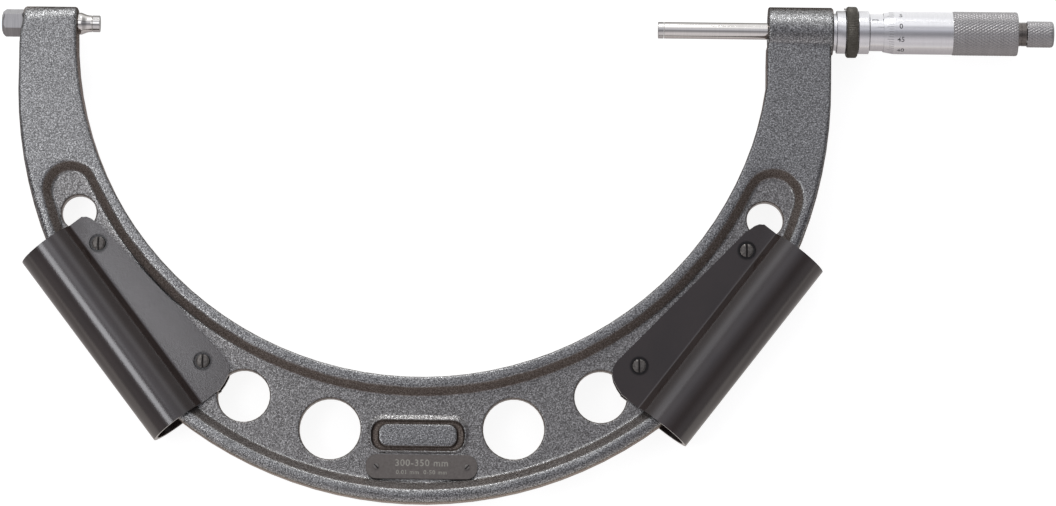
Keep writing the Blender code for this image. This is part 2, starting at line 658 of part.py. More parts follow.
def make_plate():
    low = WEB_HALF + FIT
    outline = rounded_box(PLATE_X, PLATE_Y, PLATE_WIDTH, PLATE_HEIGHT, PLATE_CORNER)
    loops = [
        at_height(outline, low),
        at_height(outline, low + PLATE_THICK - 0.25),
        at_height(inset(outline, [0.25] * len(outline)), low + PLATE_THICK),
    ]
    mesh = loft(loops)
    for _, x, y in PLATE_PINS:
        hole = turned(((2.0, 0.0), (2.0, PIN_SHANK + FIT), (9.0, PIN_SHANK + FIT), (9.0, 0.0)), 10, "Z", (x, y))
        mesh = joined(mesh, hole, "DIFFERENCE")
    finish("rating_plate", mesh, PLATE_GREY, (PLATE_X, PLATE_Y, low))


def make_pin(place, x, y):
    seat = WEB_HALF + FIT + PLATE_THICK + FIT
    profile = ((2.0, 0.0), (2.0, PIN_SHANK), (seat, PIN_SHANK), (seat, PIN_HEAD), (seat + 0.3, PIN_HEAD),
               (seat + 0.6, PIN_HEAD - 0.5), (seat + 0.75, 0.0))
    finish("plate_pin_" + place, turned(profile, 12, "Z", (x, y)), BLACKED, (x, y, seat))


def make_cap_nut():
    """Hexagon with two corners upright, a domed far end and a blind bore."""
    flats = NUT_FLATS / 2.0
    start = ARM_LEFT - FIT
    end = start - NUT_LENGTH

    def ring(x, limit):
        loop = []
        for k in range(24):
            turn = math.radians(15.0 * k + 30.0)
            side = math.radians(60.0 * round((15.0 * k + 30.0) / 60.0))
            reach = min(flats / math.cos(turn - side), limit)
            loop.append((x, reach * math.sin(turn), reach * math.cos(turn)))
        return loop

    corner = flats / math.cos(math.radians(30.0))
    loops = [
        ring(start, corner - 0.7),
        ring(start - 0.4, corner),
        ring(end + 2.0, corner),
        ring(end + 1.3, corner - 0.6),
        ring(end + 0.55, flats - 0.35),
        ring(end, flats - 1.9),
    ]
    mesh = loft(loops)
    bore = turned(((start + 3, 0.0), (start + 3, ANVIL_SHANK + FIT), (end + 1.7, ANVIL_SHANK + FIT),
                   (end + 1.7, 0.0)), 16)
    mesh = joined(mesh, bore, "DIFFERENCE")
    finish("anvil_cap_nut", mesh, SATIN, (start, 0.0, 0.0), 25.0)


def make_anvil():
    seat = ARM_INNER + FIT
    tip = -ANVIL_TIP_LENGTH - FIT
    flare = [(seat + share * ANVIL_FLARE_LENGTH, ANVIL_WAIST + left * (ANVIL_FLARE - ANVIL_WAIST))
             for share, left in ANVIL_FLARE_STEPS]
    profile = ((ARM_LEFT - 9.4, 0.0), (ARM_LEFT - 9.4, ANVIL_SHANK), (seat, ANVIL_SHANK), (seat, ANVIL_FLARE),
               *flare, (tip, ANVIL_WAIST), (tip, 0.0))
    finish("anvil", turned(profile, 24), STEEL, (seat, 0.0, 0.0))
    r = FACE_RADIUS
    profile = ((-ANVIL_TIP_LENGTH, 0.0), (-ANVIL_TIP_LENGTH, r - 0.2), (-ANVIL_TIP_LENGTH + 0.2, r),
               (-0.2, r), (0.0, r - 0.2), (0.0, 0.0))
    finish("anvil_tip", turned(profile, 24), CARBIDE, (0.0, 0.0, 0.0))


def make_spindle():
    start = GAUGE_LENGTH + SPINDLE_TIP_LENGTH + FIT
    r = SPINDLE_RADIUS
    profile = ((start, 0.0), (start, r), (THREAD_START, r), (THREAD_START + 0.5, THREAD_RADIUS),
               (SPINDLE_END, THREAD_RADIUS), (SPINDLE_END, STUB_RADIUS + FIT),
               (SPINDLE_END - STUB_LENGTH - 0.5, STUB_RADIUS + FIT), (SPINDLE_END - STUB_LENGTH - 0.5, 0.0))
    finish("spindle", turned(profile, 24), STEEL, (GAUGE_LENGTH, 0.0, 0.0))
    first = GAUGE_LENGTH
    last = GAUGE_LENGTH + SPINDLE_TIP_LENGTH
    r = FACE_RADIUS
    profile = ((first, 0.0), (first, r - 0.2), (first + 0.2, r), (last - 0.1, r), (last, r - 0.1), (last, 0.0))
    finish("spindle_tip", turned(profile, 24), CARBIDE, (GAUGE_LENGTH, 0.0, 0.0))


def make_bush():
    """Guide of the spindle in the boss, with the clamp flange and the slotted hub of the lock."""
    bore = SPINDLE_RADIUS + FIT
    step = INNER_FRONT - 0.4
    profile = ((BOSS_START + 1.8, bore), (BOSS_START + 1.8, BUSH_RADIUS), (BOSS_END + FIT, BUSH_RADIUS),
               (BOSS_END + FIT, NECK_RADIUS), (FLANGE_START, NECK_RADIUS), (FLANGE_START, FLANGE_RADIUS - 0.3),
               (FLANGE_START + 0.3, FLANGE_RADIUS), (FLANGE_END - 0.3, FLANGE_RADIUS),
               (FLANGE_END, FLANGE_RADIUS - 0.3), (FLANGE_END, HUB_RADIUS), (COLLAR_END - 0.4, HUB_RADIUS),
               (COLLAR_END - 0.4, PLUG_RADIUS + FIT), (step, PLUG_RADIUS + FIT), (step, bore))
    mesh = turned(profile, 28)
    wide = ROLLER_RADIUS + FIT
    slot = block((ROLLER_START - FIT, SPINDLE_RADIUS / 2, -wide),
                 (ROLLER_START + ROLLER_LENGTH + FIT, HUB_RADIUS + 2.5, wide))
    mesh = joined(mesh, slot, "DIFFERENCE")
    finish("guide_bush", mesh, SATIN, (FLANGE_START, 0.0, 0.0))


def make_head():
    make_bush()
    inner = HUB_RADIUS + FIT
    start = FLANGE_END + FIT
    profile = ((start, inner), (start, LOCK_RADIUS - 0.95), (start + 0.95, LOCK_RADIUS),
               (LOCK_END - 0.95, LOCK_RADIUS), (LOCK_END, LOCK_RADIUS - 0.95), (LOCK_END, inner))
    mesh = turned(profile, 40)
    r = LOCK_PIN_RADIUS + FIT
    hole = turned(((start - 2, 0.0), (start - 2, r), (start + 2.0, r), (start + 2.0, 0.0)), 12, "X", LOCK_PIN_SPOT)
    mesh = joined(mesh, hole, "DIFFERENCE")
    finish("lock_ring", mesh, BLACKED, (start, 0.0, 0.0))
    r = LOCK_PIN_RADIUS
    profile = ((start - 1.2, 0.0), (start - 1.2, r - 0.15), (start - 1.0, r), (start + 1.7, r), (start + 1.7, 0.0))
    finish("lock_pin", turned(profile, 10, "X", LOCK_PIN_SPOT), STEEL, (start, *LOCK_PIN_SPOT))
    first = ROLLER_START
    last = ROLLER_START + ROLLER_LENGTH
    r = ROLLER_RADIUS
    profile = ((first, 0.0), (first, r - 0.2), (first + 0.2, r), (last - 0.2, r), (last, r - 0.2), (last, 0.0))
    finish("lock_roller", turned(profile, 12, "X", (ROLLER_OUT, 0.0)), STEEL, (first, ROLLER_OUT, 0.0))
    r = COLLAR_RADIUS
    profile = ((COLLAR_START, inner), (COLLAR_START, r - 0.35), (COLLAR_START + 0.35, r), (COLLAR_END - 0.35, r),
               (COLLAR_END, r - 0.35), (COLLAR_END, inner))
    finish("sleeve_collar", turned(profile, 30), SATIN, (COLLAR_START, 0.0, 0.0))
    inside = SLEEVE_RADIUS - SLEEVE_WALL
    profile = ((SLEEVE_START, inside), (SLEEVE_START, SLEEVE_RADIUS), (SLEEVE_END, SLEEVE_RADIUS),
               (SLEEVE_END, inside))
    finish("scale_sleeve", turned(profile, 32), SATIN, (SLEEVE_START, 0.0, 0.0))
    bore = SPINDLE_RADIUS + FIT
    thread = THREAD_RADIUS + FIT
    body = inside - FIT
    shoulder = COLLAR_END - 0.1
    profile = ((INNER_FRONT, bore), (INNER_FRONT, PLUG_RADIUS), (shoulder, PLUG_RADIUS), (shoulder, body),
               (INNER_STEP, body), (INNER_STEP, NUT_SEAT_RADIUS), (INNER_END, NUT_SEAT_RADIUS),
               (INNER_END, thread), (NUT_BORE_START, thread), (NUT_BORE_START, bore))
    finish("inner_sleeve", turned(profile, 20), STEEL, (INNER_FRONT, 0.0, 0.0))
    seat = NUT_SEAT_RADIUS + FIT
    profile = ((INNER_STEP + FIT, seat), (INNER_STEP + FIT, body), (INNER_END - 0.5, body),
               (INNER_END - 0.5, seat))
    finish("adjusting_nut", turned(profile, 20), STEEL, (INNER_STEP, 0.0, 0.0))
    inner = SLEEVE_RADIUS + FIT
    profile = ((THIMBLE_START, inner), (THIMBLE_START, inner + 0.2), (BEVEL_END, PLAIN_RADIUS - 0.1),
               (BEVEL_END + 0.4, PLAIN_RADIUS), (KNURL_START, PLAIN_RADIUS), (KNURL_START + 0.4, KNURL_RADIUS),
               (THIMBLE_END - 0.5, KNURL_RADIUS), (THIMBLE_END, KNURL_RADIUS - 0.5),
               (THIMBLE_END, THREAD_RADIUS + FIT), (THIMBLE_FLOOR, THREAD_RADIUS + FIT), (THIMBLE_FLOOR, inner))
    finish("thimble", turned(profile, 36), SATIN, (THIMBLE_START, 0.0, 0.0))


def make_ratchet():
    start = THIMBLE_END + FIT
    neck_end = KNOB_START - FIT
    stub_end = SPINDLE_END - STUB_LENGTH
    shaft_end = KNOB_START + SHAFT_LENGTH
    tapped = RATCHET_SCREW_RADIUS + FIT
    profile = ((stub_end, 0.0), (stub_end, STUB_RADIUS), (SPINDLE_END + 0.4, STUB_RADIUS),
               (SPINDLE_END + 0.4, THREAD_RADIUS), (start, THREAD_RADIUS), (start, RATCHET_NECK),
               (neck_end, RATCHET_NECK), (neck_end, RATCHET_SHAFT), (shaft_end, RATCHET_SHAFT),
               (shaft_end, tapped), (shaft_end - 5.3, tapped), (shaft_end - 5.3, 0.0))
    finish("ratchet_body", turned(profile, 20), BLACKED, (start, 0.0, 0.0))
    r = KNOB_RADIUS
    bore = RATCHET_SHAFT + FIT
    wall = shaft_end + FIT
    seat = KNOB_END - 2.05
    profile = ((KNOB_START, KNOB_BORE), (KNOB_START, r - 0.3), (KNOB_START + 0.3, r), (KNOB_END - 1.7, r),
               (KNOB_END - 0.6, r - 0.45), (KNOB_END, r - 1.6), (KNOB_END, 2.9), (seat, 2.9), (seat, 1.3),
               (wall, 1.3), (wall, bore), (wall - 2.6, bore), (wall - 2.6, KNOB_BORE))
    finish("ratchet_knob", turned(profile, 24), SATIN, (KNOB_START, 0.0, 0.0))
    make_tooth_ring(KNOB_START + FIT, bore, KNOB_BORE - FIT)
    make_spring(KNOB_START + 3.45, wall - 2.6 - 0.75, 4.35, 0.35, 3.0)
    seat += FIT
    profile = ((shaft_end - 4.7, 0.0), (shaft_end - 4.7, RATCHET_SCREW_RADIUS), (seat, RATCHET_SCREW_RADIUS),
               (seat, 2.5), (seat + 0.8, 2.5), (seat + 1.2, 1.9), (seat + 1.3, 0.0))
    mesh = turned(profile, 14)
    mesh = joined(mesh, block((seat + 0.6, -4.0, -0.35), (seat + 3.0, 4.0, 0.35)), "DIFFERENCE")
    finish("ratchet_screw", mesh, STEEL, (seat, 0.0, 0.0))


def make_tooth_ring(start, inner, outer):
    """Ring with twelve saw teeth on its rear face."""
    teeth = 12
    low, high = 1.5, 2.2
    points = []
    rows = []
    for k in range(teeth):
        first = 2.0 * math.pi * k / teeth
        last = 2.0 * math.pi * (k + 0.93) / teeth
        rows += [(first, low), (last, high)]
    count = len(rows)
    for radius, rear in ((inner, False), (outer, False), (outer, True), (inner, True)):
        for turn, height in rows:
            x = start + (height if rear else 0.0)
            points.append((x, radius * math.cos(turn), radius * math.sin(turn)))
    faces = []
    for band in range(4):
        after = (band + 1) % 4
        for i in range(count):
            j = (i + 1) % count
            faces.append((band * count + i, band * count + j, after * count + j, after * count + i))
    finish("ratchet_teeth", raw_mesh(points, faces), STEEL, (start, 0.0, 0.0), 20.0)


def make_spring(start, end, radius, wire, turns):
    """Round wire wound about X, with flat capped ends."""
    steps = int(11 * turns)
    sides = 5
    loops = []
    for i in range(steps + 1):
        turn = 2.0 * math.pi * turns * i / steps
        x = start + (end - start) * i / steps
        out = (0.0, math.cos(turn), math.sin(turn))
        along = np.array([(end - start) / steps, -radius * math.sin(turn) * 2 * math.pi * turns / steps,
                          radius * math.cos(turn) * 2 * math.pi * turns / steps])
        along /= np.linalg.norm(along)
        side = np.cross(along, out)
        centre = np.array([x, radius * out[1], radius * out[2]])
        loop = []
        for k in range(sides):
            lean = 2.0 * math.pi * k / sides
            loop.append(centre + wire * (math.cos(lean) * np.array(out) + math.sin(lean) * side))
        loops.append(loop)
    finish("ratchet_spring", loft(loops), STEEL, (start, 0.0, 0.0), 60.0)


make_frame()
for side in ("left", "right"):
    make_grip(side)
    for place, along, across in GRIP_SCREWS:
        make_grip_screw(side, place, along, across)
        make_grip_nut(side, place, along, across)
make_plate()
for place, x, y in PLATE_PINS:
    make_pin(place, x, y)
make_cap_nut()
make_anvil()
make_spindle()
make_head()
make_ratchet()
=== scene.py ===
"""Looks of the outside micrometer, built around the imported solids.

Millimetres below unless a name says otherwise, metres in the scene. +X runs along the spindle,
+Y away from the frame's arch, +Z up, out of the frame's front face.
"""

import json
import math

import bmesh
import bpy
import numpy as np
from mathutils import Matrix, Vector


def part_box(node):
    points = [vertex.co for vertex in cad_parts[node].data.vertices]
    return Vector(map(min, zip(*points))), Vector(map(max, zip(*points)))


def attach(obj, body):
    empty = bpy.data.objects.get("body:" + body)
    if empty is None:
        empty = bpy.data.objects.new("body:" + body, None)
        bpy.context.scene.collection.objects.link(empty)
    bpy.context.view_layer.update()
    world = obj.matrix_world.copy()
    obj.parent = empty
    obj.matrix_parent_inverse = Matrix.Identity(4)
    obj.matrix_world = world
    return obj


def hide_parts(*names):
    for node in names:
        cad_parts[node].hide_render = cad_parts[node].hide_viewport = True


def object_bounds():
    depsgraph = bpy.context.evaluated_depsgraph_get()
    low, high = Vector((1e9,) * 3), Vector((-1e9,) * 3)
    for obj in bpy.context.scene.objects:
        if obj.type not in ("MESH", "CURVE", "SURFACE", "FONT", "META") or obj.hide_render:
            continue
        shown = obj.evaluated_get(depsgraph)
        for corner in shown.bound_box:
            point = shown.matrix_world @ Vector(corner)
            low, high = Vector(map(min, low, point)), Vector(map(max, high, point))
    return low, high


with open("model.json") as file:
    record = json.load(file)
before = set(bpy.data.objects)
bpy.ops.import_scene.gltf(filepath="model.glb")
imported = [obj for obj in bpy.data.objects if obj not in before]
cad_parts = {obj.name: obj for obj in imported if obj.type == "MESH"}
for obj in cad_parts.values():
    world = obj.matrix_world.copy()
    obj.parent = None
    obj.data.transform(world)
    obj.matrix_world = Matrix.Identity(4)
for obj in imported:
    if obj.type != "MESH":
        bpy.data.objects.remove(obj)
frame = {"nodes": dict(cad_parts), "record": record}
cad_low, cad_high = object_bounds()
nodes = frame["nodes"]

MM = 0.001


# Materials


def node_adder(tree):
    """A function that adds a node, sets its values and links its inputs."""
    def add(kind, links=None, **values):
        node = tree.nodes.new("ShaderNode" + kind)
        for key, value in values.items():
            if key in node.inputs:
                node.inputs[key].default_value = value
            else:
                setattr(node, key, value)
        for key, source in (links or {}).items():
            tree.links.new(source, node.inputs[key])
        return node
    return add


def new_material(name):
    """A node material with its shader, and functions that add nodes and join them to the shader."""
    made = bpy.data.materials.new(name)
    made.use_nodes = True
    shader = made.node_tree.nodes["Principled BSDF"]

    def join(source, target):
        made.node_tree.links.new(source, shader.inputs[target])

    return made, shader, node_adder(made.node_tree), join


def ramp(add, source, stops):
    """A colour ramp through (place, colour) stops."""
    node = add("ValToRGB", {"Fac": source})
    band = node.color_ramp
    while len(band.elements) < len(stops):
        band.elements.new(0.5)
    for element, (place, colour) in zip(band.elements, stops):
        element.position = place
        element.color = (*colour, 1.0)
    return node.outputs["Color"]


def fade(add, source, low, high, start=0.0, stop=1.0, shape="LINEAR"):
    """From start at the value low to stop at the value high, and level beyond both."""
    node = add("MapRange", {"Value": source}, interpolation_type=shape)
    for key, value in (("From Min", low), ("From Max", high), ("To Min", start), ("To Max", stop)):
        node.inputs[key].default_value = value
    return node.outputs["Result"]


def reckon(add, operation, *terms):
    """The result of a sum whose terms are outputs of nodes or decimal numbers."""
    node = add("Math", operation=operation)
    for place, term in enumerate(terms):
        if isinstance(term, float):
            node.inputs[place].default_value = term
        else:
            node.id_data.links.new(term, node.inputs[place])
    return node.outputs["Value"]


def product(add, values):
    result = values[0]
    for value in values[1:]:
        result = reckon(add, "MULTIPLY", result, value)
    return result


# The casting's outlines as the solids have them: centre, radii of the ellipse
THROAT = ((174.1, -4.5), (186.0, 185.3))
OUTSIDE = ((175.2, -32.6), (217.5, 224.0))
RIM = 5.0
RIM_FACE = 9.7
WEB_FACE = 4.0
RECESS_TOP = -70.0
PAINT_ROUNDING = 1.3
MOAT_CENTRE = (174.1, -220.5)
MOAT_HALF = (24.95, 8.25)
MOAT_CORNER = 6.6
LIP_GAP = 0.3
LIP_HEIGHT = 0.65
LIP_WIDTH = 1.2
LIP_ABOVE = 1.9
FLANGE_TOP = 9.0
FLANGE_LEAN = 0.125


def ellipse_measure(add, split, centre, radii):
    """Below 1 inside the ellipse, above 1 outside it."""
    squares = []
    for axis, middle, radius in zip("XY", centre, radii):
        off = reckon(add, "SUBTRACT", split.outputs[axis], middle * MM)
        squares.append(reckon(add, "POWER", reckon(add, "DIVIDE", off, radius * MM), 2.0))
    return reckon(add, "ADD", *squares)


def recess_shade(add, place, surface_normal):
    """1 on the walls of the recess, the moat and the holes, where painted shade darkens the paint, else 0;
    walls facing +Y get less of it.
    """
    split = add("SeparateXYZ", {"Vector": place})
    outside = ellipse_measure(add, split, OUTSIDE[0], [radius - RIM for radius in OUTSIDE[1]])
    throat = ellipse_measure(add, split, THROAT[0], [radius + RIM for radius in THROAT[1]])
    height = reckon(add, "ABSOLUTE", split.outputs["Z"])
    region = product(add, [
        reckon(add, "LESS_THAN", outside, 1.0),
        reckon(add, "GREATER_THAN", throat, 1.0),
        reckon(add, "LESS_THAN", split.outputs["Y"], RECESS_TOP * MM),
        reckon(add, "LESS_THAN", height, RIM_FACE * MM),
    ])
    normal = add("SeparateXYZ", {"Vector": surface_normal})
    sloping = fade(add, reckon(add, "ABSOLUTE", normal.outputs["Z"]), 0.92, 0.66)
    # painted light: walls facing +Y, towards the bright sheet behind, take only 0.65 of the painted shade
    less_shade_facing_back = fade(add, normal.outputs["Y"], 0.1, 0.6, 1.0, 0.65)
    walls = product(add, [sloping, less_shade_facing_back])
    # painted shade inside the web's thickness, on the walls of the holes and the moat
    shade_in_holes = fade(add, height, (WEB_FACE + 0.1) * MM, (WEB_FACE - 0.4) * MM)
    return product(add, [region, reckon(add, "MAXIMUM", walls, shade_in_holes)])


def moat_lip(add, place):
    """1 up to the moat's edge on the front face, falling to 0 over its lip, and the lip's share of breadth.

    That share grows from 1 below the moat to LIP_ABOVE above it.
    """
    split = add("SeparateXYZ", {"Vector": place})
    bottom = (MOAT_CENTRE[1] - MOAT_HALF[1]) * MM
    top = (MOAT_CENTRE[1] + MOAT_HALF[1]) * MM
    broader = fade(add, split.outputs["Y"], bottom, top, 1.0, LIP_ABOVE)
    over = {}
    for axis, middle, half in zip("XY", MOAT_CENTRE, MOAT_HALF):
        size = reckon(add, "ABSOLUTE", reckon(add, "SUBTRACT", split.outputs[axis], middle * MM))
        past = reckon(add, "SUBTRACT", size, (half - MOAT_CORNER) * MM)
        over[axis] = reckon(add, "MAXIMUM", past, 0.0)
    corner = add("CombineXYZ", over)
    distance = add("VectorMath", {0: corner.outputs["Vector"]}, operation="LENGTH").outputs["Value"]
    past = reckon(add, "SUBTRACT", distance, (MOAT_CORNER + LIP_GAP) * MM)
    fall = fade(add, reckon(add, "DIVIDE", past, broader), 0.0, LIP_WIDTH * MM, 1.0, 0.0)
    front = reckon(add, "GREATER_THAN", split.outputs["Z"], 0.0)
    return product(add, [fall, front]), broader


def hammertone():
    """Speckled grey paint of the casting, with painted shade on its walls, brown and dull there and near
    black at the moat's ends; rounded over its edges.
    """
    made, shader, add, join = new_material("hammertone_paint")
    place = add("TexCoord").outputs["Object"]
    grain = add("TexNoise", {"Vector": place}, Scale=1420.0, Detail=2.0, Roughness=0.55, Distortion=0.4)
    speckle = ramp(add, grain.outputs["Fac"], (
        (0.34, (0.090, 0.090, 0.091)),
        (0.50, (0.225, 0.226, 0.228)),
        (0.67, (0.46, 0.462, 0.468)),
    ))
    edges = add("Bevel", samples=6, Radius=PAINT_ROUNDING * MM)
    shade = recess_shade(add, place, edges.outputs["Normal"])
    near_moat, broader = moat_lip(add, place)
    # painted shade: the darker brown speckle that the walls take
    brown = ramp(add, grain.outputs["Fac"], (
        (0.34, (0.080, 0.064, 0.055)),
        (0.52, (0.135, 0.112, 0.098)),
        (0.68, (0.240, 0.210, 0.190)),
    ))
    # painted shade: near black on the moat's walls that face sideways, at its ends
    ends = add("SeparateXYZ", {"Vector": edges.outputs["Normal"]})
    sideways = reckon(add, "ABSOLUTE", ends.outputs["X"])
    deepest_shade = add("MixRGB", {"Fac": product(add, [near_moat, sideways]), "Color1": brown})
    deepest_shade.inputs["Color2"].default_value = (0.012, 0.009, 0.008, 1.0)
    # the speckle, with the painted shade mixed in on the walls
    walls = add("MixRGB", {"Fac": shade, "Color1": speckle, "Color2": deepest_shade.outputs["Color"]})
    join(walls.outputs["Color"], "Base Color")
    join(fade(add, shade, 0.0, 1.0, 1.0, 0.25), "Metallic")
    lip = add("Bump", {"Height": product(add, [near_moat, broader]), "Normal": edges.outputs["Normal"]},
              Distance=LIP_HEIGHT * MM)
    bump = add("Bump", {"Height": grain.outputs["Fac"], "Normal": lip.outputs["Normal"]}, Strength=0.4,
               Distance=0.0005)
    join(bump.outputs["Normal"], "Normal")
    shader.inputs["Specular Tint"].default_value = (0.42, 0.35, 0.31, 1.0)
    shader.inputs["Roughness"].default_value = 0.22
    return made


def near_screws(add, place, inner, outer):
    """1 close to the grips' screws, easing to 0 between the two distances."""
    flat = add("VectorMath", {0: place}, operation="MULTIPLY")
    flat.inputs[1].default_value = (1.0, 1.0, 0.0)
    nearest = None
    for name in nodes:
        if "grip_screw" not in name:
            continue
        low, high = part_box(name)
        gap = add("VectorMath", {0: flat.outputs["Vector"]}, operation="DISTANCE")
        gap.inputs[1].default_value = ((low.x + high.x) / 2, (low.y + high.y) / 2, 0.0)
        if nearest is None:
            nearest = gap.outputs["Value"]
        else:
            nearest = reckon(add, "MINIMUM", nearest, gap.outputs["Value"])
    return fade(add, nearest, outer * MM, inner * MM)


def leaning_flange(add, place):
    """The normal, leaning a few degrees towards the tube on the flat flanges of the grips."""
    split = add("SeparateXYZ", {"Vector": place})
    normal = add("NewGeometry").outputs["Normal"]
    parts = add("SeparateXYZ", {"Vector": normal})
    low = reckon(add, "LESS_THAN", split.outputs["Z"], FLANGE_TOP * MM)
    level = reckon(add, "GREATER_THAN", parts.outputs["Z"], 0.9)
    outward = reckon(add, "SIGN", reckon(add, "SUBTRACT", split.outputs["X"], THROAT[0][0] * MM))
    lean = add("VectorMath", operation="SCALE")
    lean.inputs[0].default_value = (FLANGE_LEAN, 0.0, 0.0)
    lean.id_data.links.new(outward, lean.inputs["Scale"])
    forward = add("VectorMath", {0: lean.outputs["Vector"]}, operation="ADD")
    forward.inputs[1].default_value = (0.0, -0.7 * FLANGE_LEAN, 0.0)
    chosen = add("VectorMath", {0: forward.outputs["Vector"]}, operation="SCALE")
    chosen.id_data.links.new(product(add, [low, level]), chosen.inputs["Scale"])
    leaning = add("VectorMath", {0: normal, 1: chosen.outputs["Vector"]}, operation="ADD")
    return add("VectorMath", {0: leaning.outputs["Vector"]}, operation="NORMALIZE").outputs["Vector"]


def lacquer():
    """Black lacquer of the grips, with painted shade in rings around their screws, where it is darker and
    less glossy.
    """
    made, shader, add, join = new_material("black_lacquer_coat")
    place = add("TexCoord").outputs["Object"]
    broad = add("TexNoise", {"Vector": place}, Scale=60.0, Detail=3.0)
    coat = ramp(add, broad.outputs["Fac"], (
        (0.3, (0.019, 0.0125, 0.0105)),
        (0.7, (0.026, 0.0175, 0.015)),
    ))
    # painted shade: a dark, less glossy ring around each screw head, for the shadowed seat around it
    screw_ring_shade = near_screws(add, place, 4.4, 5.7)
    shaded = add("MixRGB", {"Fac": screw_ring_shade, "Color1": coat})
    shaded.inputs["Color2"].default_value = (0.012, 0.010, 0.009, 1.0)
    join(shaded.outputs["Color"], "Base Color")
    join(fade(add, screw_ring_shade, 0.0, 1.0, 0.9, 0.4), "Specular IOR Level")
    fine = add("TexNoise", {"Vector": place}, Scale=1400.0, Detail=2.0)
    bump = add("Bump", {"Height": fine.outputs["Fac"], "Normal": leaning_flange(add, place)}, Strength=0.12,
               Distance=0.0002)
    join(bump.outputs["Normal"], "Normal")
    shader.inputs["Specular Tint"].default_value = (0.95, 0.96, 1.0, 1.0)
    shader.inputs["Roughness"].default_value = 0.20
    return made


def metal(name, colour, roughness, brush, streak):
    """Bare metal with turning marks: fine rings along X, stretched around the axis."""
    made, shader, add, join = new_material(name)
    place = add("TexCoord").outputs["Object"]
    stretched = add("Mapping", {"Vector": place}, Scale=(1.0, 0.04, 0.04))
    rings = add("TexNoise", {"Vector": stretched.outputs["Vector"]}, Scale=brush, Detail=4.0,
                Roughness=0.65)
    dark = tuple(c * (1.0 - streak) for c in colour)
    join(ramp(add, rings.outputs["Fac"], ((0.3, dark), (0.7, colour))), "Base Color")
    bump = add("Bump", {"Height": rings.outputs["Fac"]}, Strength=0.06, Distance=0.00005)
    join(bump.outputs["Normal"], "Normal")
    broad = add("TexNoise", {"Vector": place}, Scale=120.0, Detail=2.0)
    join(fade(add, broad.outputs["Fac"], 0.0, 1.0, roughness * 0.85, roughness * 1.15), "Roughness")
    shader.inputs["Metallic"].default_value = 1.0
    return made


def dark_finish(name, low, high, metallic, roughness):
    """A finish with a fine, faint grain between two colours."""
    made, shader, add, join = new_material(name)
    place = add("TexCoord").outputs["Object"]
    fine = add("TexNoise", {"Vector": place}, Scale=900.0, Detail=3.0)
    join(ramp(add, fine.outputs["Fac"], ((0.3, low), (0.7, high))), "Base Color")
    bump = add("Bump", {"Height": fine.outputs["Fac"]}, Strength=0.15, Distance=0.0001)
    join(bump.outputs["Normal"], "Normal")
    shader.inputs["Metallic"].default_value = metallic
    shader.inputs["Roughness"].default_value = roughness
    return made


def slotted(name, low, high, metallic, roughness, slots, half_width):
    """A dark finish with a painted black slot across each named head, turned by its angle from +Y; the
    black is painted shade for the slot's groove.
    """
    made, shader, add, join = new_material(name)
    place = add("TexCoord").outputs["Object"]
    fine = add("TexNoise", {"Vector": place}, Scale=900.0, Detail=3.0)
    plain = ramp(add, fine.outputs["Fac"], ((0.3, low), (0.7, high)))
    nearest = None
    for node, angle in slots.items():
        corner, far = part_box(node)
        turn = math.radians(angle)
        off = add("VectorMath", {0: place}, operation="SUBTRACT")
        off.inputs[1].default_value = ((corner.x + far.x) / 2, (corner.y + far.y) / 2, 0.0)
        across = add("VectorMath", {0: off.outputs["Vector"]}, operation="DOT_PRODUCT")
        across.inputs[1].default_value = (math.cos(turn), math.sin(turn), 0.0)
        gap = reckon(add, "ABSOLUTE", across.outputs["Value"])
        nearest = gap if nearest is None else reckon(add, "MINIMUM", nearest, gap)
    # painted shade: the slot's groove is shown as near black colour
    slot = fade(add, nearest, (half_width + 0.1) * MM, half_width * MM)
    mixed = add("MixRGB", {"Fac": slot, "Color1": plain})
    mixed.inputs["Color2"].default_value = (0.012, 0.010, 0.009, 1.0)
    join(mixed.outputs["Color"], "Base Color")
    bump = add("Bump", {"Height": fine.outputs["Fac"]}, Strength=0.15, Distance=0.0001)
    join(bump.outputs["Normal"], "Normal")
    shader.inputs["Metallic"].default_value = metallic
    shader.inputs["Roughness"].default_value = roughness
    return made


HAMMERTONE = hammertone()
LACQUER = lacquer()
SATIN = metal("satin_chrome_finish", (0.70, 0.70, 0.72), 0.24, 2600.0, 0.08)
KNURLED = metal("knurled_chrome_finish", (0.375, 0.366, 0.37), 0.42, 1500.0, 0.2)
NUT_STEEL = metal("nut_steel_finish", (0.34, 0.335, 0.345), 0.36, 1800.0, 0.25)
STEEL = metal("ground_steel_finish", (0.72, 0.70, 0.68), 0.06, 3000.0, 0.12)
CARBIDE = metal("hard_metal_finish", (0.63, 0.62, 0.61), 0.08, 2500.0, 0.12)
BLACKED = dark_finish("black_oxide_finish", (0.060, 0.054, 0.043), (0.100, 0.092, 0.077), 0.35, 0.45)
SCREW_BLACK = slotted("screw_black_finish", (0.075, 0.069, 0.064), (0.16, 0.149, 0.141), 0.7, 0.36,
                      {name: 0.0 for name in nodes if "grip_screw" in name}, 0.45)
PIN_GREY = slotted("pin_grey_finish", (0.13, 0.121, 0.117), (0.18, 0.168, 0.162), 0.2, 0.55,
                   {"plate_pin_left": 45.0, "plate_pin_right": -45.0}, 0.3)
NECK_BLACK = dark_finish("ratchet_neck_finish", (0.115, 0.103, 0.097), (0.175, 0.159, 0.150), 0.85, 0.2)
PLATE_GREY = dark_finish("plate_grey_finish", (0.105, 0.093, 0.087), (0.139, 0.124, 0.117), 0.2, 0.5)
PLATE_LETTER = dark_finish("plate_letter_metal", (0.25, 0.24, 0.215), (0.34, 0.33, 0.295), 0.5, 0.45)
SCALE_INK = dark_finish("scale_ink", (0.05, 0.05, 0.055), (0.09, 0.09, 0.095), 0.0, 0.5)

